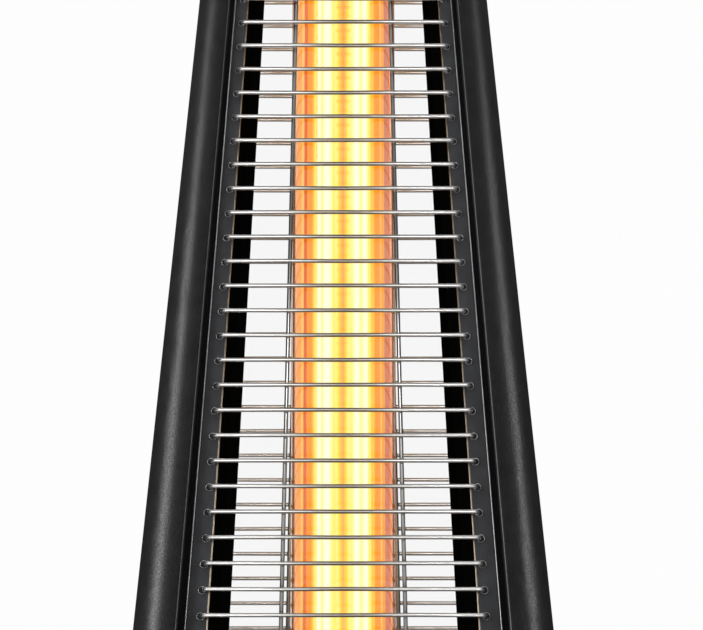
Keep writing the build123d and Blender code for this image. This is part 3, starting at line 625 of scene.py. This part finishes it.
def build_holes(side, spin):
    """The holes in the strips that the wire ends turn into, drawn as black discs of painted shade, each
    with a small pressed rim.
    """
    across = spin @ Vector((1, 0, 0))
    up = spin @ Vector((0, math.sin(TILT), math.cos(TILT)))
    holes, rims = bmesh.new(), bmesh.new()
    for z in wire_heights():
        for sign in (-1, 1):
            centre = spin @ on_face(sign * (hook_half(z) + on_guard(HOLE_SHIFT, z)), z, HOLE_STAND)
            edge = circle(centre, across, up, on_guard(HOLE_RADIUS, z), HOLE_SIDES)
            holes.faces.new([holes.verts.new(point) for point in edge])
            tube_along(rims, edge + edge[:1], RIM_RADIUS, RIM_SIDES, closed_ends=False)
    new_piece(f"hook_holes_{side}", holes, hole_painted_shade)
    new_piece(f"hole_rims_{side}", rims, rim_metal)


def build_trim(corner, spin):
    """The rounded folds at the inner edges of a post's two strips, and the rolled edges of their lips."""
    for kind, ends, out, material in (("fold", STRIP_INNER, FOLD_OUT, edge_metal),
                                      ("lip", LIP_LINE, LIP_OUT, lip_metal)):
        front = [on_face(line(ends, z), z, out) for z in TRIM_ENDS]
        beside = [Vector((-p.y, -p.x, p.z)) for p in front]
        bm = bmesh.new()
        for path in (front, beside):
            tube_along(bm, turned(path, spin), TRIM_RADIUS, TRIM_SIDES)
        new_piece(f"{kind}_{corner}", bm, material)


def flame_core():
    """The core, which swells from the burner to its full width and stands as high as the tube."""
    x, y = Vector((1, 0, 0)), Vector((0, 1, 0))
    bm = bmesh.new()
    outlines = [
        circle(Vector((0, 0, z)), x, y, CORE_RADIUS * share, CORE_SIDES) for z, share in CORE_PROFILE]
    skin(bm, outlines)
    new_piece("flame_core", bm, core_paint())


def flame_veil(name, degrees, material):
    """A thin upright sheet of flame from the core to the glass, drawn in to the burner at its foot."""
    along = Vector((math.cos(math.radians(degrees)), math.sin(math.radians(degrees)), 0))
    bm = bmesh.new()
    near = [bm.verts.new(along * VEIL_START + Vector((0, 0, z))) for z, _ in VEIL_PROFILE]
    far = [bm.verts.new(along * VEIL_REACH * share + Vector((0, 0, z))) for z, share in VEIL_PROFILE]
    for low in range(len(VEIL_PROFILE) - 1):
        bm.faces.new((near[low], far[low], far[low + 1], near[low + 1]))
    new_piece(name, bm, material)


for side, degrees in TURNS.items():
    spin = Matrix.Rotation(math.radians(degrees), 4, "Z")
    build_guard(side, spin)
    build_holes(side, spin)
for corner, degrees in CORNERS.items():
    build_trim(corner, Matrix.Rotation(math.radians(degrees), 4, "Z"))
flame_core()
veil_left = veil_paint("veil_glow_left", LEFT_BANDS)
veil_right = veil_paint("veil_glow_right", RIGHT_BANDS)
flame_veil("flame_veil_left", 180, veil_left)
flame_veil("flame_veil_right", 0, veil_right)
flame_veil("flame_veil_front", 270, veil_right)
flame_veil("flame_veil_rear", 90, veil_left)


# Studio
def seen_share(tree):
    """1 for what is seen straight or through the glass, and 0 for light and reflections."""
    path = add_node(tree, "LightPath").outputs
    return maths(tree, "MAXIMUM", path["Is Camera Ray"], path["Is Transmission Ray"])


def build_floor():
    """Pale ground, which glows a little where it is seen and casts none of that glow."""
    bpy.ops.mesh.primitive_plane_add(size=FLOOR_SIZE, location=(0, 0, 0))
    floor = bpy.context.object
    floor.name = "floor"
    material, tree, shader = new_material("floor")
    seen = seen_share(tree)
    feed_all(tree, shader, {
        "Base Color": blend(tree, seen, grey(FLOOR_GREY), grey(FLOOR_GREY_SEEN)),
        "Roughness": 0.9,
        "Emission Color": WHITE,
        "Emission Strength": maths(tree, "MULTIPLY", seen, FLOOR_GLOW_SEEN)})
    dress(floor, material)


def build_world():
    """Soft light that is dim below and bright above. Where it is seen, the backdrop is white
    instead, with painted shade that makes it a little darker behind the heater's open middle."""
    world = bpy.data.worlds.new("studio")
    bpy.context.scene.world = world
    world.use_nodes = True
    tree = world.node_tree
    x, _, z = x_y_z(tree, add_node(tree, "TexCoord").outputs["Generated"])
    height = maths(tree, "MULTIPLY", maths(tree, "ADD", z, 1.0), 0.5)
    soft = tree.nodes["Background"]
    feed_all(tree, soft, {
        "Color": colour_steps(tree, height, [(place, grey(level)) for place, level in SKY_GREYS]),
        "Strength": SKY_STRENGTH})
    # Painted shade: the backdrop is a little darker in a narrow band straight behind the heater
    shade = ranged(tree, maths(tree, "ABSOLUTE", x), BACKDROP_EDGE, BACKDROP_STRENGTH)
    backdrop = add_node(tree, "Background", {"Color": WHITE, "Strength": shade})
    mix = add_node(tree, "MixShader", {"Fac": seen_share(tree), 1: soft.outputs[0], 2: backdrop.outputs[0]})
    tree.links.new(mix.outputs[0], tree.nodes["World Output"].inputs["Surface"])


def add_lamp(name, place, target, size, power, spared=(), only=()):
    """A soft box turned to a target, which can spare some pieces its light or light only some."""
    data = bpy.data.lights.new(name, "AREA")
    data.shape = "RECTANGLE"
    data.size, data.size_y = size
    data.energy = power
    lamp = bpy.data.objects.new(name, data)
    bpy.context.scene.collection.objects.link(lamp)
    lamp.location = place
    lamp.rotation_euler = (Vector(target) - Vector(place)).to_track_quat("-Z", "Y").to_euler()
    lamp.visible_camera = False
    if spared or only:
        chosen = bpy.data.collections.new(f"{name}_chosen")
        lamp.light_linking.receiver_collection = chosen
        for piece in spared or only:
            chosen.objects.link(piece)
        for entry in chosen.collection_objects:
            entry.light_linking.link_state = "EXCLUDE" if spared else "INCLUDE"


def build_lamps():
    """Two side lamps that spare the glass and the wires, one above, and two slim ones for the wires."""
    wires = [bpy.data.objects[f"wires_{side}"] for side in TURNS]
    shiny = [nodes["glass_tube"], *wires]
    add_lamp("key", (-3.1, -2.1, 1.9), (0, 0, 1.3), size=(1.3, 2.8), power=215, spared=shiny)
    add_lamp("fill", (3.1, -1.9, 1.9), (0, 0, 1.3), size=(1.1, 2.8), power=120, spared=shiny)
    add_lamp("top", (0, -1.2, 4.8), (0, 0, 1.2), size=(2.5, 1.2), power=80, spared=wires)
    add_lamp("wires_left", (-0.55, -4.4, 0.8), (0, 0, 1.4), size=(0.35, 0.7), power=38, only=wires)
    add_lamp("wires_right", (0.55, -4.4, 0.8), (0, 0, 1.4), size=(0.35, 0.7), power=30, only=wires)


def build_camera():
    """The photograph's view, from low in front and up at the tube."""
    data = bpy.data.cameras.new("camera")
    data.sensor_width = SENSOR
    data.lens = FOCAL_PX / PHOTO_WIDTH_PX * SENSOR
    data.shift_x = AXIS_LEFT_OF_MIDDLE_PX / PHOTO_WIDTH_PX
    data.clip_end = CAMERA_REACH
    camera = bpy.data.objects.new("camera", data)
    bpy.context.scene.collection.objects.link(camera)
    camera.location = (0, -CAMERA_DISTANCE, CAMERA_HEIGHT)
    camera.rotation_euler = (math.pi / 2 + CAMERA_PITCH, 0, 0)
    bpy.context.scene.camera = camera


build_floor()
build_world()
build_lamps()
build_camera()
bpy.context.scene.view_settings.view_transform = "Standard"
